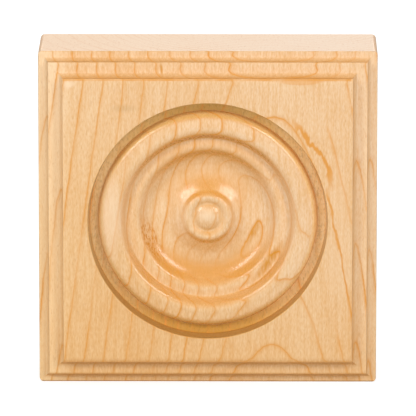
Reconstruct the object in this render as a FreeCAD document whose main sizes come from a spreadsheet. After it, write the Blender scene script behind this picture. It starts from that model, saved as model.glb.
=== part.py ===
import FreeCAD, Part
import math
import os
import Sketcher

# Corner rosette block for door and window casing, turned and moulded from one piece of maple.
# Millimetres. The block stands on its lower edge with its grain upright. +Z is up, the carved
# front looks along -Y, the flat back looks along +Y, and the origin is under the middle of the block.
# The body is drawn about the middle of its front face: X to the right, Z up, Y into the wood.

doc = FreeCAD.newDocument("corner_rosette_block")
sheet = doc.addObject("Spreadsheet::Sheet", "Sizes")

# Driving sizes. An inset is measured in from the outer faces, a radius from the rosette's axis,
# and a depth or drop from the front face into the wood.
SIZES = {
    # The blank
    "block_width": 95.25,
    "block_height": 95.25,
    "block_thickness": 31.75,
    "corner_radius": 1.3,
    # The two coves round the edge, one below the other, each a riser, a quarter round and a flat
    "field_inset": 6.95,
    "step_inset": 2.81,
    "step_depth": 3.2,
    "lip_depth": 5.8,
    "lip_round": 0.4,
    "cove_radius": 2.3,
    "lip_cove_radius": 1.9,
    # Arrises along the grain stay crisp, those across the grain are sanded rounder
    "side_roll_width": 0.35,
    "side_roll_drop": 0.25,
    "side_step_roll_width": 0.3,
    "side_step_roll_drop": 0.2,
    "end_roll_width": 1.6,
    "end_roll_drop": 0.35,
    "end_step_roll_width": 0.8,
    "end_step_roll_drop": 0.22,
    # The round recess and its flat outer floor
    "recess_radius": 33.7,
    "recess_ease_width": 0.2,
    "recess_ease_drop": 0.2,
    "channel_outer_radius": 33.2,
    "channel_outer_depth": 4.95,
    "channel_inner_radius": 30.95,
    "channel_inner_depth": 5.1,
    # The large ring, from the foot of its side over the shoulder and crest to the groove inside it
    "ring_side_radius": 30.5,
    "ring_side_depth": 3.45,
    "shoulder_radius": 28.6,
    "shoulder_depth": 2.3,
    "ring_radius": 26.3,
    "ring_depth": 2.0,
    "ring_inner_radius": 24.35,
    "ring_inner_depth": 2.6,
    "groove_radius": 23.0,
    "groove_depth": 5.35,
    # The small bead and the wall below it
    "bead_radius": 20.7,
    "bead_depth": 5.1,
    "bead_inner_radius": 19.3,
    "bead_inner_depth": 5.5,
    "wall_radius": 17.9,
    "wall_depth": 7.35,
    # The dish and the button in its middle
    "dish_radius": 13.8,
    "dish_depth": 8.85,
    "flare_foot_radius": 10.6,
    "flare_foot_depth": 8.15,
    "flare_radius": 8.4,
    "flare_depth": 7.0,
    "quirk_radius": 7.5,
    "quirk_depth": 6.6,
    "button_radius": 6.95,
    "button_side_depth": 5.85,
    "button_crest_radius": 6.0,
    "button_crest_depth": 5.35,
    "dimple_radius": 3.9,
    "dimple_depth": 5.9,
    "nub_depth": 4.7,
    # How far the cutters stand clear of the wood
    "cutter_margin": 4.0,
}


def fill_sheet():
    """Write every driving size into the sheet as a plain number with its own alias."""
    for row, (name, value) in enumerate(SIZES.items(), start=1):
        sheet.set(f"A{row}", name)
        sheet.set(f"B{row}", str(value))
        sheet.setAlias(f"B{row}", name)
    doc.recompute()


class Span:
    """A length that is a sum of signed shares of the driving sizes."""

    def __init__(self, **shares):
        self.shares = shares

    def value(self):
        """The length in millimetres."""
        return sum(share * float(sheet.get(name)) for name, share in self.shares.items())

    def text(self, sign=1):
        """The length as an expression on the sheet."""
        terms = [f"({sign * share}) * Sizes.{name}" for name, share in self.shares.items()]
        return " + ".join(terms)


ZERO = Span()


class Corner:
    """One corner of an outline, and the edge that leaves it.

    An edge is a straight line, an arc that leaves this corner level with the front face,
    or an arc that reaches the next corner level with it.
    """

    def __init__(self, across, deep, edge="line"):
        self.across = across
        self.deep = deep
        self.edge = edge


class Lie:
    """How an outline lies in its sketch: which axis runs across the block and which runs into the wood."""

    def __init__(self, across_axis, deep_axis):
        self.across_kind = f"Distance{across_axis}"
        self.deep_kind = f"Distance{deep_axis}"
        self.deep = FreeCAD.Vector(0, 1, 0) if deep_axis == "Y" else FreeCAD.Vector(1, 0, 0)
        self.across = FreeCAD.Vector(1, 1, 0) - self.deep
        self.in_line = "Vertical" if deep_axis == "Y" else "Horizontal"

    def point(self, corner):
        """The corner's place in the sketch."""
        return self.across * corner.across.value() + self.deep * corner.deep.value()


DEEP_UP = Lie("X", "Y")
DEEP_ALONG = Lie("Y", "X")


def plane_of(body, role):
    """The body's own origin plane of that role."""
    return next(f for f in body.Origin.OriginFeatures if f.Role == role)


def new_sketch(body, name, role):
    """An empty sketch lying flat on the body's origin plane of that role."""
    sketch = body.newObject("Sketcher::SketchObject", name)
    sketch.AttachmentSupport = (plane_of(body, role), "")
    sketch.MapMode = "FlatFace"
    return sketch


def level_arc(level, other, deep):
    """The arc from a corner where it runs level to another corner, and which of its ends is level.

    deep is the sketch's direction into the wood.
    """
    chord = other - level
    rise = chord.dot(deep)
    radius = chord.Length ** 2 / (2 * abs(rise))
    centre = level + deep * math.copysign(radius, rise)
    from_angle = math.atan2(level.y - centre.y, level.x - centre.x)
    to_angle = math.atan2(other.y - centre.y, other.x - centre.x)
    turn = math.remainder(to_angle - from_angle, 2 * math.pi)
    circle = Part.Circle(centre, FreeCAD.Vector(0, 0, 1), radius)
    if turn > 0:
        return Part.ArcOfCircle(circle, from_angle, from_angle + turn), 1
    return Part.ArcOfCircle(circle, to_angle, to_angle - turn), 2


def draw_edge(sketch, corner, following, lie):
    """Draw the edge that leaves a corner. Returns its number and the ends at the two corners."""
    here = lie.point(corner)
    there = lie.point(following)
    if corner.edge == "line":
        return sketch.addGeometry(Part.LineSegment(here, there), False), 1, 2
    starts_level = corner.edge == "level first"
    ends = (here, there) if starts_level else (there, here)
    arc, level_end = level_arc(*ends, lie.deep)
    number = sketch.addGeometry(arc, False)
    sketch.addConstraint(Sketcher.Constraint(lie.in_line, number, 3, number, level_end))
    first = level_end if starts_level else 3 - level_end
    return number, first, 3 - first


def tie(sketch, kind, number, end, span):
    """Hold one end of an edge at a distance from the sketch's origin, bound to the sheet."""
    if not span.shares:
        axis = -2 if kind == "DistanceX" else -1
        sketch.addConstraint(Sketcher.Constraint("PointOnObject", number, end, axis))
        return
    value = span.value()
    sign = 1 if value >= 0 else -1
    pair = (-1, 1, number, end) if value >= 0 else (number, end, -1, 1)
    index = sketch.addConstraint(Sketcher.Constraint(kind, *pair, abs(value)))
    sketch.setExpression(f"Constraints[{index}]", span.text(sign))


def draw_outline(sketch, corners, lie):
    """Draw a closed outline through the corners, each held by its two spans."""
    followers = corners[1:] + corners[:1]
    edges = [draw_edge(sketch, corner, following, lie) for corner, following in zip(corners, followers)]
    for corner, (number, first, last), after in zip(corners, edges, edges[1:] + edges[:1]):
        sketch.addConstraint(Sketcher.Constraint("Coincident", number, last, after[0], after[1]))
        tie(sketch, lie.across_kind, number, first, corner.across)
        tie(sketch, lie.deep_kind, number, first, corner.deep)
    doc.recompute()


def draw_blank(sketch):
    """Square outline of the blank with eased corners, drawn about its middle."""
    wide = Span(block_width=0.5)
    tall = Span(block_height=0.5)
    near_x = wide.value() - sheet.corner_radius
    near_y = tall.value() - sheet.corner_radius
    ends = []
    for quarter, (side, up) in enumerate(((1, 1), (-1, 1), (-1, -1), (1, -1))):
        centre = FreeCAD.Vector(side * near_x, up * near_y, 0)
        circle = Part.Circle(centre, FreeCAD.Vector(0, 0, 1), sheet.corner_radius)
        start = quarter * math.pi / 2
        ends.append(sketch.addGeometry(Part.ArcOfCircle(circle, start, start + math.pi / 2), False))
    for arc, following in zip(ends, ends[1:] + ends[:1]):
        leave = sketch.Geometry[arc].EndPoint
        reach = sketch.Geometry[following].StartPoint
        line = sketch.addGeometry(Part.LineSegment(leave, reach), False)
        sketch.addConstraint(Sketcher.Constraint("Tangent", arc, 2, line, 1))
        sketch.addConstraint(Sketcher.Constraint("Tangent", line, 2, following, 1))
        level = "Horizontal" if abs(leave.y - reach.y) < abs(leave.x - reach.x) else "Vertical"
        sketch.addConstraint(Sketcher.Constraint(level, line))
    for arc in ends[1:]:
        sketch.addConstraint(Sketcher.Constraint("Equal", ends[0], arc))
    radius = sketch.addConstraint(Sketcher.Constraint("Radius", ends[0], sheet.corner_radius))
    sketch.setExpression(f"Constraints[{radius}]", "Sizes.corner_radius")
    sketch.addConstraint(Sketcher.Constraint("Symmetric", ends[0], 3, ends[2], 3, -1, 1))
    across = sketch.addConstraint(Sketcher.Constraint("DistanceX", -1, 1, ends[0], 1, wide.value()))
    sketch.setExpression(f"Constraints[{across}]", wide.text())
    upward = sketch.addConstraint(Sketcher.Constraint("DistanceY", -1, 1, ends[0], 2, tall.value()))
    sketch.setExpression(f"Constraints[{upward}]", tall.text())
    doc.recompute()


def edge_profile(extent, way):
    """Waste outside the two coves along one edge of the block.

    extent names the size across the block. way is "side" along the grain or "end" across it.
    """
    face = {extent: 0.5}
    field = {**face, "field_inset": -1}
    step = {**face, "step_inset": -1}
    roll = f"{way}_roll"
    step_roll = f"{way}_step_roll"
    return [
        Corner(Span(**field, **{f"{roll}_width": -1}), Span(cutter_margin=-1)),
        Corner(Span(**field, **{f"{roll}_width": -1}), ZERO, "level first"),
        Corner(Span(**field), Span(**{f"{roll}_drop": 1})),
        Corner(Span(**field), Span(step_depth=1, cove_radius=-1), "level last"),
        Corner(Span(**field, cove_radius=1), Span(step_depth=1)),
        Corner(Span(**step, **{f"{step_roll}_width": -1}), Span(step_depth=1), "level first"),
        Corner(Span(**step), Span(step_depth=1, **{f"{step_roll}_drop": 1})),
        Corner(Span(**step), Span(lip_depth=1, lip_cove_radius=-1), "level last"),
        Corner(Span(**step, lip_cove_radius=1), Span(lip_depth=1)),
        Corner(Span(**face, lip_round=-1), Span(lip_depth=1), "level first"),
        Corner(Span(**face), Span(lip_depth=1, lip_round=1)),
        Corner(Span(**face, cutter_margin=1), Span(lip_depth=1, lip_round=1)),
        Corner(Span(**face, cutter_margin=1), Span(cutter_margin=-1)),
    ]


def ring_stop(name, edge):
    """A corner of the turned section at the radius and depth of that name."""
    return Corner(Span(**{f"{name}_radius": 1}), Span(**{f"{name}_depth": 1}), edge)


def rosette_profile():
    """Waste in front of the turned section, from the nub on the axis out to the recess's arris."""
    rim = {"recess_radius": 1}
    return [
        Corner(ZERO, Span(cutter_margin=-1)),
        Corner(ZERO, Span(nub_depth=1), "level first"),
        ring_stop("dimple", "level last"),
        ring_stop("button_crest", "level first"),
        Corner(Span(button_radius=1), Span(button_side_depth=1)),
        ring_stop("quirk", "line"),
        ring_stop("flare", "line"),
        ring_stop("flare_foot", "level last"),
        ring_stop("dish", "level first"),
        ring_stop("wall", "line"),
        ring_stop("bead_inner", "level last"),
        ring_stop("bead", "line"),
        ring_stop("groove", "line"),
        ring_stop("ring_inner", "level last"),
        ring_stop("ring", "line"),
        ring_stop("shoulder", "level first"),
        ring_stop("ring_side", "line"),
        ring_stop("channel_inner", "line"),
        ring_stop("channel_outer", "line"),
        Corner(Span(**rim), Span(recess_ease_drop=1)),
        Corner(Span(**rim, recess_ease_width=1), ZERO),
        Corner(Span(**rim, recess_ease_width=1), Span(cutter_margin=-1)),
    ]


def pad_blank(body):
    """The sawn blank, from its front face back into the wood."""
    sketch = new_sketch(body, "BlankOutline", "XZ_Plane")
    draw_blank(sketch)
    pad = body.newObject("PartDesign::Pad", "Blank")
    pad.Profile = sketch
    pad.Reversed = True
    pad.setExpression("Length", "Sizes.block_thickness")
    doc.recompute()
    return pad


def mould_edge(body, name, role, mirror_role, corners, lie):
    """Run the two coves along one edge and its opposite."""
    before = body.Shape.Volume
    sketch = new_sketch(body, f"{name}Profile", role)
    draw_outline(sketch, corners, lie)
    cut = body.newObject("PartDesign::Pocket", name)
    cut.Profile = sketch
    cut.Type = "ThroughAll"
    cut.SideType = "Symmetric"
    doc.recompute()
    opposite = body.newObject("PartDesign::Mirrored", f"{name}Opposite")
    opposite.Originals = [cut]
    opposite.MirrorPlane = (plane_of(body, mirror_role), [""])
    body.Tip = opposite
    doc.recompute()
    check_cut(name, before, body)


def turn_rosette(body):
    """Turn the rosette's rings into the front face."""
    before = body.Shape.Volume
    sketch = new_sketch(body, "RosetteProfile", "XY_Plane")
    draw_outline(sketch, rosette_profile(), DEEP_UP)
    groove = body.newObject("PartDesign::Groove", "Rosette")
    groove.Profile = sketch
    groove.ReferenceAxis = (sketch, ["V_Axis"])
    groove.Angle = 360
    doc.recompute()
    check_cut("Rosette", before, body)


def check_cut(name, before, body):
    """A cut that removes no wood points the wrong way."""
    if body.Shape.Volume > before - 1:
        raise RuntimeError(f"{name} removed no wood")


def check_document():
    """Stop on any object that failed to compute."""
    for thing in doc.Objects:
        if "Invalid" in thing.State or "Error" in thing.State:
            raise RuntimeError(f"{thing.Name} failed: {thing.State}")


def build_block():
    """The whole block as one solid, standing on its lower edge."""
    body = doc.addObject("PartDesign::Body", "RosetteBlock")
    body.Label = "rosette_block"
    pad_blank(body)
    mould_edge(body, "SideCoves", "XY_Plane", "YZ_Plane", edge_profile("block_width", "side"), DEEP_UP)
    mould_edge(body, "EndCoves", "YZ_Plane", "XY_Plane", edge_profile("block_height", "end"), DEEP_ALONG)
    turn_rosette(body)
    body.setExpression("Placement.Base.y", "-Sizes.block_thickness / 2")
    body.setExpression("Placement.Base.z", "Sizes.block_height / 2")
    doc.recompute()
    return body


def write_solid(body):
    """Write the finished solid under the body's own label."""
    shape = body.Shape
    if shape.isNull() or not shape.isValid() or len(shape.Solids) != 1:
        raise RuntimeError(f"{body.Label} is not one valid solid")
    os.makedirs("parts", exist_ok=True)
    shape.exportStep(os.path.join("parts", f"{body.Label}.step"))
    print(body.Label, "volume", round(shape.Volume, 1), "box", shape.BoundBox)


fill_sheet()
block = build_block()
check_document()
write_solid(block)
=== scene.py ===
"""Looks of the corner rosette block: flat-sawn maple under a clear satin finish, in a plain studio.

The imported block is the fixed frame. Lengths are metres in the scene and millimetres inside the wood's own
pattern, where X runs to the right, Y into the wood from the front face, and Z up from the block's middle.
"""

import logging
import math
from dataclasses import dataclass, field
from enum import Enum
from functools import reduce
from typing import ClassVar, Optional, Sequence, Union

import bpy
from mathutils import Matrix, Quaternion, Vector


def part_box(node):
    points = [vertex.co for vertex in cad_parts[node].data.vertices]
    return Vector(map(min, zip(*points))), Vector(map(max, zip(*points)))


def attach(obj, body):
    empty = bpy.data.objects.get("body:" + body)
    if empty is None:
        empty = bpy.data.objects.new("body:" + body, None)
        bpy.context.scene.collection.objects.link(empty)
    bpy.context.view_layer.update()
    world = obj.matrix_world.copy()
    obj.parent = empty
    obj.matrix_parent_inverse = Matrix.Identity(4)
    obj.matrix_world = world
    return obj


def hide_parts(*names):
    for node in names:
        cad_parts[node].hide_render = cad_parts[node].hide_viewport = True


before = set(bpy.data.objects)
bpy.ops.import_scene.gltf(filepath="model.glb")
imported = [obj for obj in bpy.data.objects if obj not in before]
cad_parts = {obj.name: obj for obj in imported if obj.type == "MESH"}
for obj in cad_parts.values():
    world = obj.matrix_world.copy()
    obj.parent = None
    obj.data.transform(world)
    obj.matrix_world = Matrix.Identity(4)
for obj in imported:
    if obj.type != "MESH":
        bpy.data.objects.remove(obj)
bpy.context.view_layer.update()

log = logging.getLogger("rosette_block")

Socket = bpy.types.NodeSocket
Value = Union[Socket, float]
Colour = tuple[float, float, float, float]
ColourValue = Union[Socket, Colour]

MILLIMETRES = 1000.0


def paint(red: int, green: int, blue: int) -> Colour:
    """Turn a colour as the eye sees it on a screen into the linear colour that a shader takes.

    Args:
        red: Red from 0 to 255.
        green: Green from 0 to 255.
        blue: Blue from 0 to 255.

    Returns:
        The linear colour with full alpha.
    """

    def linear(level: int) -> float:
        """Return one channel in linear light, by the sRGB curve."""
        share = level / 255
        return share / 12.92 if share <= 0.04045 else ((share + 0.055) / 1.055) ** 2.4

    return linear(red), linear(green), linear(blue), 1.0


@dataclass(frozen=True)
class Rise:
    """A smooth rise from a low level, at its start, to a high one, at its end."""

    start: float
    end: float
    low: float = 0.0
    high: float = 1.0


@dataclass(frozen=True)
class Belt:
    """A stretch with a soft edge on each side, both alike unless the one after it is given."""

    start: float
    end: float
    soft: float
    soft_after: Optional[float] = None

    @property
    def fade(self) -> float:
        """Length of the soft edge after the stretch."""
        return self.soft if self.soft_after is None else self.soft_after


@dataclass(frozen=True)
class Cloud:
    """Soft noise whose lumps have a size along X, Y and Z, in millimetres.

    The detail is how many finer layers it has. The shift moves it, so that two clouds of one size differ.
    """

    size: tuple[float, float, float]
    detail: float = 1.0
    shift: float = 0.0


@dataclass(frozen=True)
class Sway(Cloud):
    """A cloud centred on nought, with a reach to each side."""

    reach: float = 1.0


@dataclass(frozen=True)
class Oval:
    """A soft oval on the front, through the wood: its middle, half its width and height, and its lean.

    Lengths are millimetres. The lean is degrees to the right, and soft is how much of it is the soft edge.
    """

    right: float
    up: float
    half_width: float
    half_height: float
    lean: float = 0.0
    soft: float = 0.8
    half_depth: float = 1e6


class NodeBench:
    """Places nodes in one shader tree and joins them up."""

    def __init__(self, tree: bpy.types.NodeTree) -> None:
        """Start work on the node tree of a material, a world or a group."""
        self.tree = tree

    def add(self, kind: str, **settings: object) -> bpy.types.Node:
        """Add one node.

        Args:
            kind: Blender's name for the node.
            settings: Properties of the node, by name.

        Returns:
            The new node.
        """
        node = self.tree.nodes.new(kind)
        for name, setting in settings.items():
            setattr(node, name, setting)
        return node

    def feed(self, socket: Socket, value: object) -> None:
        """Give a socket its value, from another socket or as a constant.

        Args:
            socket: The input to fill.
            value: An output socket, a number, a colour or a vector.
        """
        if isinstance(value, bpy.types.NodeSocket):
            self.tree.links.new(value, socket)
        else:
            socket.default_value = value

    def math(self, operation: str, *values: Value) -> Socket:
        """Work out one sum.

        Args:
            operation: Blender's name for the sum.
            values: Its one, two or three numbers.

        Returns:
            The result.
        """
        node = self.add("ShaderNodeMath", operation=operation)
        for socket, value in zip(node.inputs, values):
            self.feed(socket, value)
        return node.outputs[0]

    def product(self, *values: Value) -> Socket:
        """Multiply masks and numbers together."""
        return reduce(lambda one, other: self.math("MULTIPLY", one, other), values)

    def total(self, *values: Value) -> Socket:
        """Add numbers up."""
        return reduce(lambda one, other: self.math("ADD", one, other), values)

    def greatest(self, *values: Value) -> Socket:
        """Find the greatest of some masks."""
        return reduce(lambda one, other: self.math("MAXIMUM", one, other), values)

    def rest(self, mask: Value) -> Socket:
        """Find what a mask leaves uncovered."""
        return self.math("SUBTRACT", 1.0, mask)

    def split(self, vector: Socket) -> Sequence[Socket]:
        """Part a vector into its X, Y and Z.

        Args:
            vector: The vector.

        Returns:
            The three numbers.
        """
        axes = self.add("ShaderNodeSeparateXYZ")
        self.feed(axes.inputs[0], vector)
        return axes.outputs

    def ease(self, value: Value, start: Value, end: Value, low: Value = 0.0, high: Value = 1.0) -> Socket:
        """Rise smoothly from one level to another.

        Args:
            value: What is measured.
            start: Where the rise begins.
            end: Where the rise ends.
            low: The level before the rise.
            high: The level after it.

        Returns:
            The level.
        """
        node = self.add("ShaderNodeMapRange", interpolation_type="SMOOTHSTEP")
        for socket, setting in zip(node.inputs, (value, start, end, low, high)):
            self.feed(socket, setting)
        return node.outputs[0]

    def rise(self, value: Value, rise: Rise) -> Socket:
        """Find the level of a rise for what is measured."""
        return self.ease(value, rise.start, rise.end, rise.low, rise.high)

    def belt(self, value: Value, belt: Belt) -> Socket:
        """Be one within a belt and nought outside it, with soft edges.

        Args:
            value: What is measured.
            belt: The belt.

        Returns:
            The belt's mask.
        """
        rising = self.ease(value, belt.start - belt.soft, belt.start)
        falling = self.ease(value, belt.end, belt.end + belt.fade, 1.0, 0.0)
        return self.product(rising, falling)

    def blend(self, share: Value, base: ColourValue, over: ColourValue, way: str = "MIX") -> Socket:
        """Lay one colour over another.

        Args:
            share: How much of the upper colour is laid on.
            base: The colour below.
            over: The colour above.
            way: Blender's name for the way they mix.

        Returns:
            The mixed colour.
        """
        node = self.add("ShaderNodeMix", data_type="RGBA", blend_type=way)
        self.feed(node.inputs["Factor"], share)
        self.feed(node.inputs[6], base)
        self.feed(node.inputs[7], over)
        return node.outputs[2]

    def cloud(self, point: Socket, cloud: Cloud) -> Socket:
        """Make soft noise.

        Args:
            point: Where in the wood, in millimetres.
            cloud: What the noise is like.

        Returns:
            A value from nought to one.
        """
        mapping = self.add("ShaderNodeMapping")
        self.feed(mapping.inputs["Vector"], point)
        mapping.inputs["Location"].default_value = (cloud.shift, 2 * cloud.shift, 3 * cloud.shift)
        mapping.inputs["Scale"].default_value = tuple(1 / length for length in cloud.size)
        noise = self.add("ShaderNodeTexNoise")
        self.feed(noise.inputs["Vector"], mapping.outputs["Vector"])
        noise.inputs["Scale"].default_value = 1.0
        noise.inputs["Detail"].default_value = cloud.detail
        return noise.outputs[0]

    def centre(self, value: Socket, reach: float) -> Socket:
        """Centre a value from nought to one on nought, with a reach to each side."""
        return self.math("MULTIPLY", self.math("SUBTRACT", value, 0.5), 2 * reach)

    def stray(self, point: Socket, sway: Sway) -> Socket:
        """Stray to both sides of nought from place to place."""
        return self.centre(self.cloud(point, sway), sway.reach)

    def oval(self, point: Socket, oval: Oval) -> Socket:
        """Mark a soft oval.

        Args:
            point: Where in the wood, in millimetres.
            oval: The oval.

        Returns:
            The oval's mask.
        """
        mapping = self.add("ShaderNodeMapping", vector_type="TEXTURE")
        self.feed(mapping.inputs["Vector"], point)
        mapping.inputs["Location"].default_value = (oval.right, 0, oval.up)
        mapping.inputs["Rotation"].default_value = (0, math.radians(oval.lean), 0)
        mapping.inputs["Scale"].default_value = (oval.half_width, oval.half_depth, oval.half_height)
        length = self.add("ShaderNodeVectorMath", operation="LENGTH")
        self.feed(length.inputs[0], mapping.outputs["Vector"])
        return self.ease(length.outputs["Value"], 1 - oval.soft, 1.0, 1.0, 0.0)


def shader_group(name: str, inputs: Sequence[str], outputs: Sequence[str]) -> bpy.types.ShaderNodeTree:
    """Start a shader group that takes vectors and gives values.

    Args:
        name: The group's name.
        inputs: Names of the vectors that it takes.
        outputs: Names of the values that it gives.

    Returns:
        The group, with nothing in it yet.
    """
    tree = bpy.data.node_groups.new(name, "ShaderNodeTree")
    for vector in inputs:
        tree.interface.new_socket(vector, in_out="INPUT", socket_type="NodeSocketVector")
    for value in outputs:
        tree.interface.new_socket(value, in_out="OUTPUT", socket_type="NodeSocketFloat")
    return tree


@dataclass(frozen=True)
class Growth:
    """How the tree grew: where its heart lay behind the block, and how wide its rings are.

    Lengths are millimetres. The heart leans away from the front face as it goes up.
    """

    heart_right: float = 18.2
    heart_behind: float = 40.0
    heart_lean: float = 0.11
    left_fan: Rise = Rise(-8.0, -34.0, 0.0, -0.05)
    broad_wander: Sway = Sway((38, 38, 95), reach=1.6)
    small_wander: Sway = Sway((7, 7, 22), shift=3.1, reach=0.45)
    ragged: Sway = Sway((1.6, 1.6, 5.0), 3.0, 7.7, 0.3)
    ragged_least: float = 0.15
    zigzag: Sway = Sway((0.45, 0.45, 1.3), 1.0, 5.9, 0.14)
    wide_from: float = 47.0
    inner_ring: float = 2.4
    outer_ring: float = 4.4
    first_line: float = 43.3
    line_width: float = 0.23
    least_width: float = 0.05
    quick_side: float = 0.55
    year_seed: float = 11.705
    year_least: float = 0.9
    year_range: float = 0.5
    patches: Cloud = Cloud((16, 16, 26), 1.0, 5.3)
    patchy: Rise = Rise(0.3, 0.62, 0.35, 1.0)
    plain: tuple[Oval, ...] = (
        Oval(34.0, -13.0, 7.0, 27.0, soft=0.35),
        Oval(31.0, 33.0, 11.0, 9.0, soft=0.4),
    )
    plain_loss: float = 0.85

    def group(self) -> bpy.types.ShaderNodeTree:
        """Build the shader group that draws the growth lines.

        Returns:
            A group from a place on the wood to the strength of the growth line there.
        """
        tree = shader_group("growth_lines", ("Point", "Facing"), ("Line",))
        bench = NodeBench(tree)
        source = bench.add("NodeGroupInput")
        point = source.outputs["Point"]
        radius, slant = self._radius(bench, point, source.outputs["Facing"])
        number, width = self._ring(bench, radius)
        line = self._line(bench, number, width, slant)
        result = bench.add("NodeGroupOutput")
        bench.feed(result.inputs["Line"], bench.product(line, self._presence(bench, point)))
        return tree

    def _radius(self, bench: NodeBench, point: Socket, facing: Socket) -> tuple[Socket, Socket]:
        """Measure how far a point lies from the tree's heart, with the wander of real grain.

        Args:
            bench: Where the nodes go.
            point: The point in the wood.
            facing: The way the surface faces there.

        Returns:
            The distance in millimetres, and how squarely the surface cuts the rings, from nought to one.
        """
        right, deep, up = bench.split(point)
        fan = bench.product(up, bench.rise(right, self.left_fan))
        strays = (bench.stray(point, sway) for sway in (self.broad_wander, self.small_wander))
        wander = bench.total(*strays, fan)
        across = bench.math("SUBTRACT", bench.total(right, wander), self.heart_right)
        behind = bench.math("MULTIPLY_ADD", up, self.heart_lean, self.heart_behind)
        behind = bench.math("SUBTRACT", behind, deep)
        radius = bench.math("SQRT", bench.math("MULTIPLY_ADD", across, across, bench.product(behind, behind)))
        outward = bench.add("ShaderNodeCombineXYZ")
        bench.feed(outward.inputs["X"], across)
        bench.feed(outward.inputs["Y"], bench.product(behind, -1.0))
        bench.feed(outward.inputs["Z"], bench.product(behind, self.heart_lean))
        along = bench.add("ShaderNodeVectorMath", operation="DOT_PRODUCT")
        bench.feed(along.inputs[0], outward.outputs[0])
        bench.feed(along.inputs[1], facing)
        cosine = bench.math("DIVIDE", along.outputs["Value"], radius)
        slant = bench.math("SQRT", bench.greatest(bench.rest(bench.product(cosine, cosine)), 0.0))
        roughly = bench.math("MULTIPLY_ADD", slant, 1 - self.ragged_least, self.ragged_least)
        ragged = bench.product(bench.stray(point, self.ragged), roughly)
        zigzag = bench.product(bench.stray(point, self.zigzag), slant)
        return bench.total(radius, bench.total(ragged, zigzag)), slant

    def _ring(self, bench: NodeBench, radius: Socket) -> tuple[Socket, Socket]:
        """Count the rings out from the heart, narrow ones first and wider ones after.

        Args:
            bench: Where the nodes go.
            radius: Distance from the heart.

        Returns:
            The ring's number with its fraction, and the ring's width there.
        """
        narrow = bench.math("DIVIDE", bench.math("MINIMUM", radius, self.wide_from), self.inner_ring)
        beyond = bench.greatest(bench.math("SUBTRACT", radius, self.wide_from), 0.0)
        number = bench.total(narrow, bench.math("DIVIDE", beyond, self.outer_ring))
        number = bench.math("SUBTRACT", number, self.first_line / self.inner_ring)
        inside = bench.math("LESS_THAN", radius, self.wide_from)
        width = bench.math("MULTIPLY_ADD", inside, self.inner_ring - self.outer_ring, self.outer_ring)
        return number, width

    def _line(self, bench: NodeBench, number: Socket, width: Socket, slant: Socket) -> Socket:
        """Draw the thin line that ends each year's growth, some years strongly and some faintly.

        Args:
            bench: Where the nodes go.
            number: The ring's number with its fraction.
            width: The ring's width.
            slant: How squarely the surface cuts the rings.

        Returns:
            The line's strength.
        """
        part = bench.math("SUBTRACT", number, bench.math("FLOOR", number))
        before = bench.product(bench.rest(part), width)
        after = bench.product(part, width)
        thick = bench.math("MULTIPLY_ADD", slant, self.line_width, self.least_width)
        slow = bench.math("POWER", math.e, bench.math("DIVIDE", before, bench.product(thick, -1.0)))
        thin = bench.product(thick, -self.quick_side)
        quick = bench.math("POWER", math.e, bench.math("DIVIDE", after, thin))
        year = bench.add("ShaderNodeTexWhiteNoise", noise_dimensions="1D")
        bench.feed(year.inputs["W"], bench.total(bench.math("ROUND", number), self.year_seed))
        strong = bench.math("MULTIPLY_ADD", year.outputs["Value"], self.year_range, self.year_least)
        return bench.product(bench.greatest(slow, quick), strong)

    def _presence(self, bench: NodeBench, point: Socket) -> Socket:
        """Let the lines come and go along the grain, and thin out where the wood is plain.

        Args:
            bench: Where the nodes go.
            point: The point in the wood.

        Returns:
            How much of the lines is there.
        """
        along = bench.rise(bench.cloud(point, self.patches), self.patchy)
        plain = bench.greatest(*(bench.oval(point, oval) for oval in self.plain))
        return bench.product(along, bench.math("MULTIPLY_ADD", plain, -self.plain_loss, 1.0))


@dataclass(frozen=True)
class Fibre:
    """The fine upright texture between the growth lines."""

    streak: Cloud = Cloud((0.75, 0.75, 11.0), 3.0, 1.9)
    thread: Cloud = Cloud((0.32, 0.32, 1.3), 1.0, 4.4)
    fleck: Cloud = Cloud((0.42, 1.6, 1.5), 1.0, 8.2)
    fleck_parts: Rise = Rise(0.6, 0.75)

    def group(self) -> bpy.types.ShaderNodeTree:
        """Build the shader group that draws streaks, threads and short dark flecks.

        Returns:
            A group from a point in the wood to its streaks, threads and flecks.
        """
        tree = shader_group("fibre", ("Point",), ("Streak", "Thread", "Fleck"))
        bench = NodeBench(tree)
        point = bench.add("NodeGroupInput").outputs["Point"]
        result = bench.add("NodeGroupOutput")
        bench.feed(result.inputs["Streak"], bench.cloud(point, self.streak))
        bench.feed(result.inputs["Thread"], bench.cloud(point, self.thread))
        bench.feed(result.inputs["Fleck"], bench.rise(bench.cloud(point, self.fleck), self.fleck_parts))
        return tree


@dataclass(frozen=True)
class MapleTones:
    """The colours of the wood as seen in plain light, and the factors that shift them on some parts."""

    pale: Colour = paint(245, 211, 171)
    deep: Colour = paint(232, 182, 124)
    end_pale: Colour = paint(234, 174, 96)
    end_deep: Colour = paint(220, 154, 72)
    sapwood_and_light: Colour = paint(253, 224, 188)
    sapwood_deep: Colour = paint(243, 203, 156)
    sawn_pale: Colour = paint(250, 223, 194)
    sawn_deep: Colour = paint(246, 210, 174)
    hollow_shade: Colour = paint(214, 158, 60)
    hollow_low_shade: Colour = paint(200, 136, 30)
    line: Colour = paint(228, 156, 68)
    fleck: Colour = paint(214, 156, 98)
    amber_shade: Colour = paint(224, 158, 76)
    stain_and_shade: Colour = paint(158, 110, 48)
    smear: Colour = paint(214, 142, 18)
    torn: Colour = paint(212, 132, 14)
    sawn_left_factor: Colour = (0.98, 0.92, 0.83, 1.0)
    lower_shade_factor: Colour = (0.98, 0.9, 0.71, 1.0)
    turned_fill_light: Colour = (1.02, 1.06, 1.14, 1.0)
    channel_tone_and_light: Colour = (0.99, 1.08, 1.06, 1.0)
    channel_right_light: Colour = (1.08, 1.15, 1.1, 1.0)


TONES = MapleTones()


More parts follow.
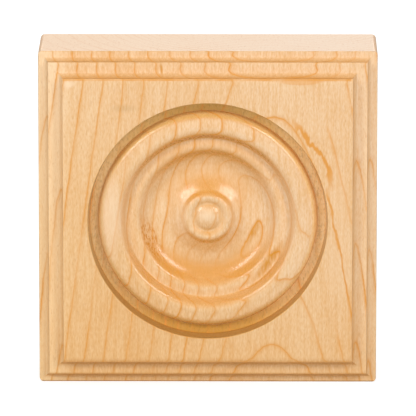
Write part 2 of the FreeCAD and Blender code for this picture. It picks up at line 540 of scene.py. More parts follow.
@dataclass(frozen=True)
class BlockSizes:
    """The block's main sizes, in millimetres."""

    width: float
    thickness: float
    height: float
    recess_radius: float
    channel_outer: float
    channel_inner: float


@dataclass(frozen=True)
class Place:
    """Where on the wood the shader is at work: sockets in millimetres, and masks from nought to one."""

    sizes: BlockSizes
    point: Socket
    right: Socket
    deep: Socket
    up: Socket
    facing: Socket
    around: Socket
    sawn: Socket
    beside: Socket
    channel: Socket


@dataclass(frozen=True)
class Grain:
    """The wood's texture at a place, from nought to one."""

    line: Socket
    streak: Socket
    thread: Socket
    fleck: Socket


@dataclass(frozen=True)
class EndGrain:
    """Where the ends of the fibres show, on slopes that face up, down and to the sides.

    Up and down, turned and outside, say how far a slope has to face that way to show them in full, on the
    turned work and outside the recess. Lengths are millimetres.
    """

    recess_lip: float = 0.3
    up_turned: float = 0.6
    up_outside: float = 1.0
    down_turned: float = -0.85
    down_outside: float = -0.55
    low_from: float = -16.0
    low_to: float = -19.0
    low_share: float = 0.72
    ring_foot: float = 1.0
    ring_flank: Rise = Rise(29.0, 30.4, 1.0, 0.65)
    button: Rise = Rise(5.5, 7.5, 0.75, 1.0)
    across: Rise = Rise(0.35, 1.0, 0.0, 0.32)

    def mask(self, bench: NodeBench, place: Place) -> Socket:
        """Mark the end grain.

        Args:
            bench: Where the nodes go.
            place: Where on the wood.

        Returns:
            How much of the surface is end grain.
        """
        sizes, around = place.sizes, place.around
        facing_right, _, facing_up = bench.split(place.facing)
        lip = sizes.recess_radius, sizes.recess_radius + self.recess_lip
        above = bench.ease(facing_up, 0.0, bench.ease(around, *lip, self.up_turned, self.up_outside))
        foot = sizes.channel_inner - self.ring_foot, sizes.channel_inner
        low = bench.ease(around, *foot, self.low_share, 1.0)
        above = bench.product(above, bench.ease(place.up, self.low_from, self.low_to, 1.0, low))
        below = bench.ease(facing_up, 0.0, bench.ease(around, *lip, self.down_turned, self.down_outside))
        along = bench.product(bench.greatest(above, below), bench.rise(around, self.ring_flank))
        along = bench.product(along, bench.rise(around, self.button))
        across = bench.rise(bench.math("ABSOLUTE", facing_right), self.across)
        end = bench.greatest(along, bench.product(across, bench.rest(place.beside)))
        return bench.product(end, bench.rest(place.sawn))


@dataclass(frozen=True)
class Figure:
    """How the wood's colour runs over the block, with painted shade and fill light, and how strongly its
    texture shows.

    Lengths are millimetres from the middle of the front face.
    """

    mottle: Sway = Sway((17, 17, 46), 2.0, 2.2, 0.45)
    streak_reach: float = 0.65
    thread_reach: float = 0.7
    sapwood_grain: float = 0.75
    sapwood_left: Rise = Rise(-38.0, -43.0, 0.0, 0.95)
    sapwood_right: Rise = Rise(40.5, 43.5, 0.0, 0.35)
    sapwood_behind: Rise = Rise(8.0, 18.0, 1.0, 0.45)
    lower_shade_slope: float = 0.7
    lower: Rise = Rise(70.0, -70.0)
    turned_light_edge: float = 2.0
    hollow_low_shade: Rise = Rise(5.0, -5.0)
    hollow_shade_share: Rise = Rise(5.0, -5.0, 0.8, 0.88)
    sunk_from: float = 29.6
    sunk_soft: float = 0.4
    sunk_right_light: Rise = Rise(5.0, 26.0)
    fleck_front: float = 0.3
    fleck_beside: float = 0.1
    line_sawn: float = 0.5
    line_behind: Rise = Rise(8.0, 16.0, 1.0, 0.55)
    wall_gap: float = 0.1
    wall_soft: float = 0.12
    pores: Cloud = Cloud((0.5, 0.5, 0.9), 2.0, 3.6)
    open_pores: Rise = Rise(0.5, 0.7, 0.0, 0.28)
    wall_shade: Rise = Rise(5.0, -16.0, 0.25, 0.5)

    def colour(self, bench: NodeBench, place: Place, grain: Grain, end: Socket) -> Socket:
        """Mix the wood's colour with its painted shade and fill light, before the marks are laid on.

        Args:
            bench: Where the nodes go.
            place: Where on the wood.
            grain: The texture there.
            end: How much of the surface is end grain.

        Returns:
            The colour.
        """
        colour = self._ground(bench, place, grain, end)
        shown = bench.ease(place.beside, 0.0, 1.0, self.fleck_front, self.fleck_beside)
        colour = bench.blend(bench.product(grain.fleck, shown), colour, TONES.fleck)
        shown = bench.ease(place.sawn, 0.0, 1.0, 1.0, self.line_sawn)
        shown = bench.product(shown, bench.rise(place.deep, self.line_behind))
        colour = bench.blend(bench.product(grain.line, shown), colour, TONES.line)
        return self._darken_wall(bench, place, colour)

    def _ground(self, bench: NodeBench, place: Place, grain: Grain, end: Socket) -> Socket:
        """Mix the colour between the lines from pale and deep fibres.

        Args:
            bench: Where the nodes go.
            place: Where on the wood.
            grain: The texture there.
            end: How much of the surface is end grain.

        Returns:
            The colour.
        """
        streak = bench.centre(grain.streak, self.streak_reach)
        thread = bench.centre(grain.thread, self.thread_reach)
        deep = bench.total(bench.stray(place.point, self.mottle), streak, thread, 0.5)
        deep = bench.math("MINIMUM", bench.greatest(deep, 0.0), 1.0)
        colour = bench.blend(deep, TONES.pale, TONES.deep)
        sapwood_and_light = bench.blend(bench.product(deep, self.sapwood_grain), TONES.sapwood_and_light, TONES.sapwood_deep)
        left, right = (bench.rise(place.right, side) for side in (self.sapwood_left, self.sapwood_right))
        outermost = bench.product(bench.total(left, right), bench.rise(place.deep, self.sapwood_behind))
        colour = bench.blend(outermost, colour, sapwood_and_light)
        colour = bench.blend(end, colour, bench.blend(deep, TONES.end_pale, TONES.end_deep))
        colour = self._shade(bench, place, colour)
        sawn = bench.blend(deep, TONES.sawn_pale, TONES.sawn_deep)
        left_end = bench.ease(place.right, place.sizes.width / 2, -place.sizes.width / 2)
        sawn = bench.blend(left_end, sawn, TONES.sawn_left_factor, "MULTIPLY")
        return bench.blend(place.sawn, colour, sawn)

    def _shade(self, bench: NodeBench, place: Place, colour: Socket) -> Socket:
        """Paint shade low on the block and fill light on the sunk turned middle, and tint the channel round
        it with painted warm shade and light.

        Args:
            bench: Where the nodes go.
            place: Where on the wood.
            colour: The wood's colour.

        Returns:
            The shifted colour.
        """
        # Painted shade: the colour darkens towards the lower left of the block
        slope = bench.math("MULTIPLY_ADD", place.right, self.lower_shade_slope, place.up)
        colour = bench.blend(bench.rise(slope, self.lower), colour, TONES.lower_shade_factor, "MULTIPLY")
        # Painted fill light: the sunk turned middle is made paler and less golden
        inner = place.sizes.channel_inner
        turned = bench.ease(place.around, inner, inner - self.turned_light_edge)
        colour = bench.blend(turned, colour, TONES.turned_fill_light, "MULTIPLY")
        # Painted warm shade in the channel above and below the axis, deeper towards the bottom
        lie = bench.math("DIVIDE", place.up, place.around)
        hollow_shade = bench.product(lie, lie, bench.rise(place.up, self.hollow_shade_share), place.channel)
        tone = bench.blend(bench.rise(place.up, self.hollow_low_shade), TONES.hollow_shade, TONES.hollow_low_shade)
        colour = bench.blend(hollow_shade, colour, tone)
        # The channel's khaki tone with painted fill light, and more painted light on its right side
        sunk = bench.belt(place.around, Belt(self.sunk_from, place.sizes.recess_radius, self.sunk_soft))
        right = bench.rise(place.right, self.sunk_right_light)
        factor = bench.blend(right, TONES.channel_tone_and_light, TONES.channel_right_light)
        return bench.blend(sunk, colour, factor, "MULTIPLY")

    def _darken_wall(self, bench: NodeBench, place: Place, colour: Socket) -> Socket:
        """Darken the recess's rough wall, partly with painted shade, and open the pores there and in the
        channel.

        Args:
            bench: Where the nodes go.
            place: Where on the wood.
            colour: The wood's colour.

        Returns:
            The darkened colour.
        """
        sizes = place.sizes
        wall = Belt(sizes.channel_outer + self.wall_gap, sizes.recess_radius, self.wall_soft)
        stain_and_shade = bench.belt(place.around, wall)
        pores = bench.rise(bench.cloud(place.point, self.pores), self.open_pores)
        pores = bench.product(pores, bench.greatest(stain_and_shade, place.channel))
        colour = bench.blend(pores, colour, TONES.stain_and_shade)
        # Painted shade on the recess's wall, stronger towards the bottom
        return bench.blend(bench.product(stain_and_shade, bench.rise(place.up, self.wall_shade)), colour, TONES.stain_and_shade)


@dataclass(frozen=True)
class Mark:
    """One mark on the front, laid on as colour where all the limits that are given for it meet.

    Lengths are millimetres from the middle of the front face. The belts lie round the axis, across a course
    that may lean, and up. The fade follows the height, and beside is how far to the side of the axis a place
    lies, from nought to one. The sway moves the first two belts, and breaks are a cloud and how it shows.
    """

    tone: Colour
    strength: float = 1.0
    oval: Optional[Oval] = None
    around: Optional[Belt] = None
    right: Optional[Belt] = None
    up: Optional[Belt] = None
    fade: Optional[Rise] = None
    beside: Optional[Rise] = None
    breaks: Optional[tuple[Cloud, Rise]] = None
    sway: Optional[Sway] = None
    lean: float = 0.0

    def mask(self, bench: NodeBench, place: Place) -> Socket:
        """Find how strongly the mark shows.

        Args:
            bench: Where the nodes go.
            place: Where on the wood.

        Returns:
            The mark's mask.
        """
        limits = [self.strength]
        sway = bench.stray(place.point, self.sway) if self.sway else 0.0
        if self.oval:
            limits.append(bench.oval(place.point, self.oval))
        if self.around:
            limits.append(bench.belt(bench.total(place.around, sway), self.around))
        if self.right:
            course = bench.math("MULTIPLY_ADD", place.up, self.lean, place.right)
            limits.append(bench.belt(bench.total(course, sway), self.right))
        if self.up:
            limits.append(bench.belt(place.up, self.up))
        if self.fade:
            limits.append(bench.rise(place.up, self.fade))
        if self.beside:
            beside = bench.math("ABSOLUTE", bench.math("DIVIDE", place.right, place.around))
            limits.append(bench.rise(beside, self.beside))
        if self.breaks:
            cloud, shown = self.breaks
            limits.append(bench.rise(bench.cloud(place.point, cloud), shown))
        return bench.product(*limits)


@dataclass(frozen=True)
class MarksAndPaintedLight:
    """What the work left on the front, the figure that the growth lines don't draw, and painted shade,
    shadow, highlight and fill light, in laying order.
    """

    front: Rise = Rise(9.5, 11.0, 1.0, 0.0)
    torn_breaks: ClassVar = (Cloud((0.42, 0.42, 1.15), 1.0, 6.1), Rise(0.42, 0.64, 0.12, 0.85))
    smear_breaks: ClassVar = (Cloud((0.8, 0.8, 2.6), 3.0, 4.1), Rise(0.32, 0.6, 0.4, 1.0))
    edge_breaks: ClassVar = (Cloud((6.0, 9, 9), 3.0, 4.9), Rise(0.3, 0.7, 0.3, 0.9))
    flame_sway: ClassVar = Sway((1.9, 1.9, 6.5), 3.0, 2.7, 3.4)
    bold_sway: ClassVar = Sway((2.4, 2.4, 8.0), 3.0, 8.8, 1.3)
    along_grain: ClassVar = Rise(0.6, 0.95)
    marks: tuple[Mark, ...] = (
        # Painted warm shade low in the dish, in the groove round the nub, and high on the bead and the dish
        Mark(TONES.amber_shade, 0.85, around=Belt(15.6, 16.4, 5.6, 2.2), fade=Rise(-6.0, -15.0)),
        Mark(TONES.amber_shade, 0.25, around=Belt(3.4, 4.3, 0.6)),
        Mark(TONES.amber_shade, 0.3, around=Belt(19.5, 23.6, 1.0), fade=Rise(8.0, 19.0)),
        Mark(TONES.amber_shade, 0.32, around=Belt(9.5, 14.8, 1.8), fade=Rise(2.0, 9.0)),
        # Paler wood left of the dish, right on the field and in the upper left corner, and a painted
        # highlight on the nub
        Mark(TONES.sapwood_and_light, 0.5, Oval(-27.0, 1.0, 4.5, 17.0)),
        Mark(TONES.sapwood_and_light, 0.2, Oval(37.0, -2.0, 5.5, 34.0)),
        # Painted highlight on the nub
        Mark(TONES.sapwood_and_light, 0.5, Oval(-0.4, 0.9, 3.1, 3.1)),
        Mark(TONES.sapwood_and_light, 0.6, Oval(-38.9, 39.1, 2.2, 1.5)),
        # Painted fill light in the grooves at the sides, where they run along the grain
        Mark(TONES.sapwood_and_light, 0.14, around=Belt(23.0, 24.6, 0.6), beside=along_grain),
        Mark(TONES.sapwood_and_light, 0.14, around=Belt(17.8, 19.2, 0.6), beside=along_grain),
        Mark(TONES.sapwood_and_light, 0.14, around=Belt(6.8, 8.6, 0.6), beside=along_grain),
        # Torn grain at the dish's left, and brown smears at its right
        Mark(TONES.torn, 1.0, Oval(-15.9, -7.0, 3.8, 9.5, -25, 0.7), Belt(16.0, 18.8, 1.0),
             breaks=torn_breaks),
        Mark(TONES.smear, 0.8, Oval(12.9, -4.9, 1.4, 5.6, 24), breaks=smear_breaks),
        Mark(TONES.smear, 0.85, Oval(17.2, -12.9, 1.9, 10.5, 36), breaks=smear_breaks),
        # Ragged figure beside the recess, and one bold line down the right of the field
        Mark(TONES.line, 1.0, Oval(29.5, 19.5, 5.5, 13.0, -32, 0.5), Belt(36.5, 37.3, 0.8), sway=flame_sway),
        Mark(TONES.line, 0.9, right=Belt(35.2, 35.45, 0.3), up=Belt(-21.0, 6.0, 5.0),
             sway=bold_sway, lean=0.178),
        # A short streak on the upper cove, and a smudge at the field's upper left
        Mark(TONES.smear, 0.7, Oval(-13.0, 43.0, 0.55, 2.4, -8, 0.7)),
        Mark(TONES.stain_and_shade, 0.16, Oval(-23.5, 32.3, 5.0, 1.7, 0, 0.9)),
        # The stained edge above the field, broader at its right
        Mark(TONES.line, right=Belt(-40.0, 40.0, 0.3), up=Belt(40.275, 40.675, 0.25), breaks=edge_breaks),
        Mark(TONES.line, 0.5, Oval(26.0, 40.1, 7.0, 1.3, 0, 0.35)),
        # Painted shadow along the lower arris, where the block stands on the floor
        Mark(TONES.stain_and_shade, 0.65, fade=Rise(-47.125, -47.425)),
    )

    def lay(self, bench: NodeBench, place: Place, colour: Socket) -> Socket:
        """Lay all the marks on the wood's colour.

        Args:
            bench: Where the nodes go.
            place: Where on the wood.
            colour: The wood's colour.

        Returns:
            The marked colour.
        """
        front = bench.product(bench.rise(place.deep, self.front), bench.rest(place.sawn))
        for mark in self.marks:
            colour = bench.blend(bench.product(mark.mask(bench, place), front), colour, mark.tone)
        return colour


@dataclass(frozen=True)
class SatinCoat:
    """The clear finish: how rough it dried on each part, and how the grain stands up under it."""

    rough: Rise = Rise(0.2, 0.8, 0.3, 0.4)
    turned_gloss: Rise = Rise(30.6, 31.2, -0.13, 0.0)
    end_dulled: float = 0.25
    dulled: float = 0.22
    specular: float = 0.5
    coat: float = 0.2
    coat_roughness: float = 0.15
    thread_relief: float = 0.5
    line_relief: float = -0.15
    channel_relief: Rise = Rise(0.0, 1.0, 1.0, 2.5)
    relief: float = 0.35
    relief_metres: float = 0.00012

    def roughness(self, bench: NodeBench, place: Place, grain: Grain, end: Socket) -> Socket:
        """Find the roughness, less on the turned middle and more where the wood was left rough.

        Args:
            bench: Where the nodes go.
            place: Where on the wood.
            grain: The texture there.
            end: How much of the surface is end grain.

        Returns:
            The roughness.
        """
        dull = bench.greatest(place.sawn, place.channel, bench.product(end, self.end_dulled))
        rough = bench.math("MULTIPLY_ADD", dull, self.dulled, bench.rise(grain.streak, self.rough))
        return bench.total(rough, bench.rise(place.around, self.turned_gloss))

    def normal(self, bench: NodeBench, place: Place, grain: Grain) -> Socket:
        """Raise the grain a little under the finish.

        Args:
            bench: Where the nodes go.
            place: Where on the wood.
            grain: The texture there.

        Returns:
            The surface's own direction.
        """
        height = bench.math("MULTIPLY_ADD", grain.thread, self.thread_relief, grain.streak)
        height = bench.math("MULTIPLY_ADD", grain.line, self.line_relief, height)
        bump = bench.add("ShaderNodeBump")
        bump.inputs["Strength"].default_value = self.relief
        bump.inputs["Distance"].default_value = self.relief_metres
        height = bench.product(height, bench.rise(place.channel, self.channel_relief))
        bench.feed(bump.inputs["Height"], height)
        return bump.outputs["Normal"]


@dataclass(frozen=True)
class SatinMaple:
    """The block's finish: maple with its figure and marks under a clear satin coat, in millimetres."""

    sizes: BlockSizes
    growth: Growth = Growth()
    fibre: Fibre = Fibre()
    end_grain: EndGrain = EndGrain()
    figure: Figure = Figure()
    marks: MarksAndPaintedLight = MarksAndPaintedLight()
    coat: SatinCoat = SatinCoat()
    front_fades: tuple[float, float] = (10.0, 12.0)
    sawn_skin: tuple[float, float] = (0.12, 0.03)
    side_skin: tuple[float, float] = (0.3, 0.1)
    channel_gap: float = 0.1
    channel_soft: float = 0.15

    def material(self) -> bpy.types.Material:
        """Make the finished material.

        Returns:
            The material.
        """
        material = bpy.data.materials.new("satin_maple")
        material.use_nodes = True
        bench = NodeBench(material.node_tree)
        shader = material.node_tree.nodes["Principled BSDF"]
        place = self._place(bench)
        grain = self._grain(bench, place)
        end = self.end_grain.mask(bench, place)
        colour = self.figure.colour(bench, place, grain, end)
        bench.feed(shader.inputs["Base Color"], self.marks.lay(bench, place, colour))
        bench.feed(shader.inputs["Roughness"], self.coat.roughness(bench, place, grain, end))
        bench.feed(shader.inputs["Normal"], self.coat.normal(bench, place, grain))
        shader.inputs["Specular IOR Level"].default_value = self.coat.specular
        shader.inputs["Coat Weight"].default_value = self.coat.coat
        shader.inputs["Coat Roughness"].default_value = self.coat.coat_roughness
        return material

    def _place(self, bench: NodeBench) -> Place:
        """Measure where on the wood a point lies, from the middle of the front face.

        Args:
            bench: Where the nodes go.

        Returns:
            The place, with the masks that follow from it.
        """
        sizes = self.sizes
        source = bench.add("ShaderNodeTexCoord")
        mapping = bench.add("ShaderNodeMapping")
        bench.feed(mapping.inputs["Vector"], source.outputs["Object"])
        mapping.inputs["Location"].default_value = (0, sizes.thickness / 2, -sizes.height / 2)
        mapping.inputs["Scale"].default_value = (MILLIMETRES,) * 3
        point = mapping.outputs["Vector"]
        right, deep, up = bench.split(point)
        around = bench.math("SQRT", bench.math("MULTIPLY_ADD", right, right, bench.product(up, up)))
        around = bench.total(around, bench.ease(deep, *self.front_fades, 0.0, sizes.width))
        sawn = self._skin(bench, up, sizes.height, self.sawn_skin)
        beside = self._skin(bench, right, sizes.width, self.side_skin)
        floor = Belt(sizes.channel_inner + self.channel_gap, sizes.channel_outer, self.channel_soft)
        channel = bench.belt(around, floor)
        return Place(sizes, point, right, deep, up, source.outputs["Normal"], around, sawn, beside, channel)

    def _skin(self, bench: NodeBench, measure: Socket, size: float, skin: tuple[float, float]) -> Socket:
        """Mark the two outer faces across an axis, from where their skin begins to where it is whole."""
        begins, whole = (size / 2 - depth for depth in skin)
        return bench.ease(bench.math("ABSOLUTE", measure), begins, whole)

    def _grain(self, bench: NodeBench, place: Place) -> Grain:
        """Place the shader groups that draw the wood's texture.

        Args:
            bench: Where the nodes go.
            place: Where on the wood.

        Returns:
            The texture there.
        """
        rings = bench.add("ShaderNodeGroup", node_tree=self.growth.group())
        bench.feed(rings.inputs["Point"], place.point)
        bench.feed(rings.inputs["Facing"], place.facing)
        fibres = bench.add("ShaderNodeGroup", node_tree=self.fibre.group())
        bench.feed(fibres.inputs["Point"], place.point)
        return Grain(rings.outputs["Line"], *(fibres.outputs[name] for name in ("Streak", "Thread", "Fleck")))


class Run(Enum):
    """How the turned section runs from one stop to the next, going in."""

    STRAIGHT = "straight"
    LEAVES_LEVEL = "leaves level with the front face"
    ARRIVES_LEVEL = "arrives level with the front face"


@dataclass(frozen=True)
class Stop:
    """One stop of the turned section, in millimetres from the axis and down from the front face."""

    radius: float
    depth: float
    run: Run = Run.STRAIGHT

    def depth_towards(self, inner: "Stop", share: float) -> float:
        """Find the depth part of the way to the next stop.

        Args:
            inner: The next stop.
            share: How much of the way, from nought to one.

        Returns:
            The depth there.
        """
        if self.run is Run.LEAVES_LEVEL:
            share = share ** 2
        elif self.run is Run.ARRIVES_LEVEL:
            share = 1 - (1 - share) ** 2
        return self.depth + (inner.depth - self.depth) * share


@dataclass(frozen=True)
class TurnedSection:
    """The rosette's section from the foot of the large ring in to the nub, sanded soft after turning."""

    stops: tuple[Stop, ...] = (
        # The large ring, from its foot in the channel to the groove inside it
        Stop(30.95, 5.1),
        Stop(30.5, 3.45, Run.ARRIVES_LEVEL),
        Stop(28.6, 2.3),
        Stop(26.3, 2.0, Run.LEAVES_LEVEL),
        Stop(24.35, 2.6),
        Stop(23.0, 5.35),
        # The bead and the wall of the dish
        Stop(20.7, 5.1, Run.LEAVES_LEVEL),
        Stop(19.3, 5.5),
        Stop(17.9, 7.35, Run.ARRIVES_LEVEL),
        # The dish, rising to the button
        Stop(13.8, 8.85, Run.LEAVES_LEVEL),
        Stop(10.6, 8.28),
        Stop(9.2, 7.6),
        Stop(8.2, 7.0),
        Stop(7.45, 6.65),
        # The button's crest, its groove and the nub
        Stop(7.0, 5.95, Run.ARRIVES_LEVEL),
        Stop(5.75, 5.2, Run.LEAVES_LEVEL),
        Stop(4.6, 5.55),
        Stop(3.9, 5.95),
        Stop(3.1, 5.4, Run.ARRIVES_LEVEL),
        Stop(0.0, 4.7),
    )
    spacing: float = 0.25
    sanding: int = 7

    def path(self) -> list[tuple[float, float]]:
        """Walk the section from its outer end to the axis.

        Returns:
            Close places along it, each a radius and a depth, with the arrises sanded round.
        """
        places = [(self.stops[0].radius, self.stops[0].depth)]
        for outer, inner in zip(self.stops, self.stops[1:]):
            length = math.hypot(outer.radius - inner.radius, outer.depth - inner.depth)
            count = math.ceil(length / self.spacing)
            for number in range(1, count + 1):
                share = number / count
                radius = outer.radius + (inner.radius - outer.radius) * share
                places.append((radius, outer.depth_towards(inner, share)))
        for _ in range(self.sanding):
            places = self._sand(places)
        return places

    def _sand(self, places: list[tuple[float, float]]) -> list[tuple[float, float]]:
        """Ease every place a little towards its neighbours.

        Args:
            places: The places along the section.

        Returns:
            The eased places, with both ends kept.
        """
        eased = [
            tuple((before + 2 * here + after) / 4 for before, here, after in zip(*triple))
            for triple in zip(places, places[1:], places[2:])
        ]
        return [places[0], *eased, places[-1]]


@dataclass
class RosetteBlock:
    """The whole block, one piece of maple. Lengths are millimetres unless named otherwise."""

    node: str = "rosette_block"
    slot: str = "maple"
    recess_radius: float = 33.7
    channel_outer: float = 33.2
    section: TurnedSection = field(default_factory=TurnedSection)
    cut_margin: float = 0.02
    merge_metres: float = 1e-6
    crease_degrees: float = 38.0

    def __post_init__(self) -> None:
        """Read the block's own size from the frame."""
        low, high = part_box(self.node)
        self.sizes = BlockSizes(*((high - low) * MILLIMETRES), self.recess_radius, self.channel_outer,
                                self.section.stops[0].radius)

    def build(self) -> bpy.types.Object:
        """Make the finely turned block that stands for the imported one.

        Returns:
            The block, one closed mesh, dressed in its wood.
        """
        block = self._copy_node()
        self._clear_rosette()
        self._turn_rosette()
        self._close(block)
        self.dress(block)
        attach(block, "root")
        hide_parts(self.node)
        return block

    def dress(self, block: bpy.types.Object) -> None:
        """Dress the block in its wood."""
        block.data.materials.clear()
        block.data.materials.append(SatinMaple(self.sizes).material())

    def _copy_node(self) -> bpy.types.Object:
        """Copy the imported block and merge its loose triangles.

        Returns:
            The copy, with nothing selected in its mesh.
        """
        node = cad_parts[self.node]
        bpy.ops.object.select_all(action="DESELECT")
        node.select_set(True)
        bpy.context.view_layer.objects.active = node
        bpy.ops.object.duplicate()
        block = bpy.context.object
        block.name = "turned_block"
        bpy.ops.mesh.customdata_custom_splitnormals_clear()
        bpy.ops.object.mode_set(mode="EDIT")
        bpy.ops.mesh.select_all(action="SELECT")
        bpy.ops.mesh.remove_doubles(threshold=self.merge_metres)
        bpy.ops.mesh.select_all(action="DESELECT")
        bpy.ops.object.mode_set(mode="OBJECT")
        return block

    def _clear_rosette(self) -> None:
        """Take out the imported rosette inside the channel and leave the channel's inner edge selected."""
        mesh = bpy.context.object.data
        limit = self.sizes.channel_inner - self.cut_margin
        for face in mesh.polygons:
            right, deep, up = self._local(face.center)
            face.select = math.hypot(right, up) < limit and deep < self.sizes.thickness / 2
        bpy.ops.object.mode_set(mode="EDIT")
        bpy.ops.mesh.select_mode(type="FACE")
        bpy.ops.mesh.delete(type="FACE")
        bpy.ops.mesh.select_mode(type="EDGE")
        bpy.ops.mesh.select_all(action="DESELECT")
        bpy.ops.mesh.select_non_manifold(extend=False, use_wire=False, use_multi_face=False,
                                         use_non_contiguous=False, use_verts=False)

    def _local(self, place: Vector) -> tuple[float, float, float]:
        """Measure a place to the right, into the wood and up from the front's middle, in millimetres."""
        right, along, up = place * MILLIMETRES
        return right, along + self.sizes.thickness / 2, up - self.sizes.height / 2

    def _turn_rosette(self) -> None:
        """Turn the rosette inwards, ring by ring, from the selected edge to the axis."""
        places = self.section.path()
        axis = (0, 0, self.sizes.height / 2 / MILLIMETRES)
        for (outer, higher), (radius, depth) in zip(places, places[1:-1]):
            sink = (depth - higher) / MILLIMETRES
            bpy.ops.mesh.extrude_edges_move(TRANSFORM_OT_translate={"value": (0, sink, 0)})
            shrink = radius / outer
            bpy.ops.transform.resize(value=(shrink, 1, shrink), center_override=axis)
        sink = (places[-1][1] - places[-2][1]) / MILLIMETRES
        bpy.ops.mesh.extrude_edges_move(TRANSFORM_OT_translate={"value": (0, sink, 0)})
        bpy.ops.mesh.merge(type="CENTER")

    def _close(self, block: bpy.types.Object) -> None:
        """Turn the mesh's faces outwards and smooth its curves, with flat faces kept flat.

        Args:
            block: The block, in edit mode.
        """
        bpy.ops.mesh.select_all(action="SELECT")
        bpy.ops.mesh.normals_make_consistent(inside=False)
        bpy.ops.object.mode_set(mode="OBJECT")
        bpy.ops.object.shade_smooth_by_angle(angle=math.radians(self.crease_degrees))
        bpy.ops.object.modifier_add(type="WEIGHTED_NORMAL")
        weights = block.modifiers[-1]
        weights.keep_sharp = True
        bpy.ops.object.modifier_apply(modifier=weights.name)


def direction(round_from_front: float, above: float) -> Vector:
    """Point from the block towards a place round it.

    Args:
        round_from_front: Degrees round from the front, to the right.
        above: Degrees above level.

    Returns:
        The unit direction.
    """
    turn, rise = math.radians(round_from_front), math.radians(above)
    return Vector((math.sin(turn) * math.cos(rise), -math.cos(turn) * math.cos(rise), math.sin(rise)))


class Lamp(Enum):
    """The studio's lamps."""

    LEFT = "left_softbox"
    RIGHT = "right_softbox"
    REAR = "rear_softbox"
    FRONT = "low_front_fill"


@dataclass(frozen=True)
class Softbox:
    """One soft lamp aimed at the block. Angles are degrees from the front and above the floor."""

    lamp: Lamp
    round_from_front: float
    above: float
    distance: float
    size: tuple[float, float]
    watts: float
    roll: float = 0.0
    shines: bool = True

    def build(self, target: Vector) -> None:
        """Hang the lamp.

        Args:
            target: What it is aimed at.
        """
        data = bpy.data.lights.new(self.lamp.value, "AREA")
        data.shape = "RECTANGLE"
        data.size, data.size_y = self.size
        data.energy = self.watts
        lamp = bpy.data.objects.new(self.lamp.value, data)
        lamp.location = target + self.distance * direction(self.round_from_front, self.above)
        aim = (target - lamp.location).to_track_quat("-Z", "Y")
        lamp.rotation_euler = (aim @ Quaternion((0, 0, 1), math.radians(self.roll))).to_euler()
        lamp.visible_glossy = self.shines
        bpy.context.scene.collection.objects.link(lamp)


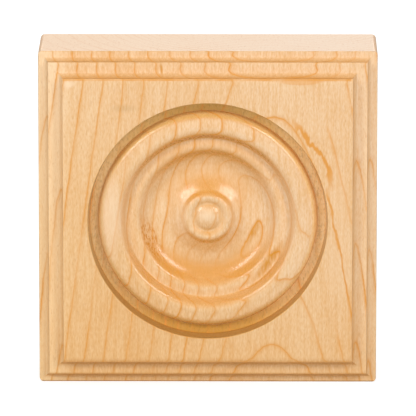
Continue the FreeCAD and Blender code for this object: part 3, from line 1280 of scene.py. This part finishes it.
@dataclass(frozen=True)
class Studio:
    """The plain room: floor, soft light all round, lamps and camera. Lengths are metres, angles degrees."""

    floor_size: float = 6.0
    floor_tone: float = 0.5
    floor_seen_tone: float = 0.85
    floor_glow: float = 0.05
    floor_seen_glow: float = 0.55
    floor_white: float = 1.42
    floor_roughness: float = 0.9
    room_light: float = 0.3
    room_shine: float = 0.75
    camera_round: float = 0.32
    camera_above: float = 12.1
    camera_distance: float = 1.8
    camera_lens: float = 550.0
    aim_above_middle: float = 0.00049
    lamps: tuple[Softbox, ...] = (
        Softbox(Lamp.LEFT, -42, 29, 1.0, (0.5, 0.16), 3.0, 62),
        Softbox(Lamp.RIGHT, 40, 29, 1.0, (0.5, 0.16), 3.0, -62),
        Softbox(Lamp.REAR, 180, 42, 0.8, (0.7, 0.4), 3.0),
        Softbox(Lamp.FRONT, 0, 8, 1.3, (1.2, 0.2), 4.9, shines=False),
    )

    def build(self, middle: Vector) -> None:
        """Set the studio up round the block.

        Args:
            middle: The block's middle.
        """
        bpy.context.scene.view_settings.view_transform = "Standard"
        self._lay_floor()
        self._light_room()
        for lamp in self.lamps:
            lamp.build(middle)
        self._place_camera(middle + Vector((0, 0, self.aim_above_middle)))

    def _lay_floor(self) -> None:
        """Lay the pale floor, which looks white and still takes the block's shadow."""
        bpy.ops.object.select_all(action="DESELECT")
        bpy.ops.mesh.primitive_plane_add(size=self.floor_size, location=(0, 0, 0))
        floor = bpy.context.object
        floor.name = "studio_floor"
        floor.data.materials.append(self._floor_material())

    def _floor_material(self) -> bpy.types.Material:
        """Make the floor's finish, paler to the eye than to the light that it throws back.

        Returns:
            The material.
        """
        material = bpy.data.materials.new("pale_floor")
        material.use_nodes = True
        bench = NodeBench(material.node_tree)
        shader = material.node_tree.nodes["Principled BSDF"]
        shader.inputs["Roughness"].default_value = self.floor_roughness
        shader.inputs["Specular IOR Level"].default_value = 0.0
        glow = bench.add("ShaderNodeEmission")
        glow.inputs["Strength"].default_value = self.floor_white
        path = bench.add("ShaderNodeLightPath")
        mix = bench.add("ShaderNodeMixShader")
        seen = path.outputs["Is Camera Ray"]
        tone = bench.ease(seen, 0.0, 1.0, self.floor_tone, self.floor_seen_tone)
        bench.feed(shader.inputs["Base Color"], tone)
        bench.feed(mix.inputs[0], bench.ease(seen, 0.0, 1.0, self.floor_glow, self.floor_seen_glow))
        bench.feed(mix.inputs[1], shader.outputs[0])
        bench.feed(mix.inputs[2], glow.outputs[0])
        bench.feed(material.node_tree.nodes["Material Output"].inputs["Surface"], mix.outputs[0])
        return material

    def _light_room(self) -> None:
        """Fill the room with soft light, brighter in reflections, and let the eye see it white."""
        world = bpy.data.worlds.new("soft_room")
        bpy.context.scene.world = world
        world.use_nodes = True
        bench = NodeBench(world.node_tree)
        path = bench.add("ShaderNodeLightPath")
        background = world.node_tree.nodes["Background"]
        background.inputs["Color"].default_value = (1, 1, 1, 1)
        mirrored = bench.ease(path.outputs["Is Glossy Ray"], 0.0, 1.0, self.room_light, self.room_shine)
        bench.feed(background.inputs["Strength"], bench.greatest(mirrored, path.outputs["Is Camera Ray"]))

    def _place_camera(self, target: Vector) -> None:
        """Stand the camera where the photographer stood.

        Args:
            target: What it is aimed at.
        """
        data = bpy.data.cameras.new("camera")
        data.lens = self.camera_lens
        camera = bpy.data.objects.new("camera", data)
        camera.location = target + self.camera_distance * direction(self.camera_round, self.camera_above)
        camera.rotation_euler = (target - camera.location).to_track_quat("-Z", "Y").to_euler()
        bpy.context.scene.collection.objects.link(camera)
        bpy.context.scene.camera = camera


def main() -> None:
    """Dress the block and set up the studio round it."""
    logging.basicConfig(level=logging.INFO, format="%(message)s")
    block = RosetteBlock()
    turned = block.build()
    log.info("%s turned with %d faces", turned.name, len(turned.data.polygons))
    low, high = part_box(block.node)
    Studio().build((low + high) / 2)
    log.info("studio ready")


if __name__ == "__main__":
    main()
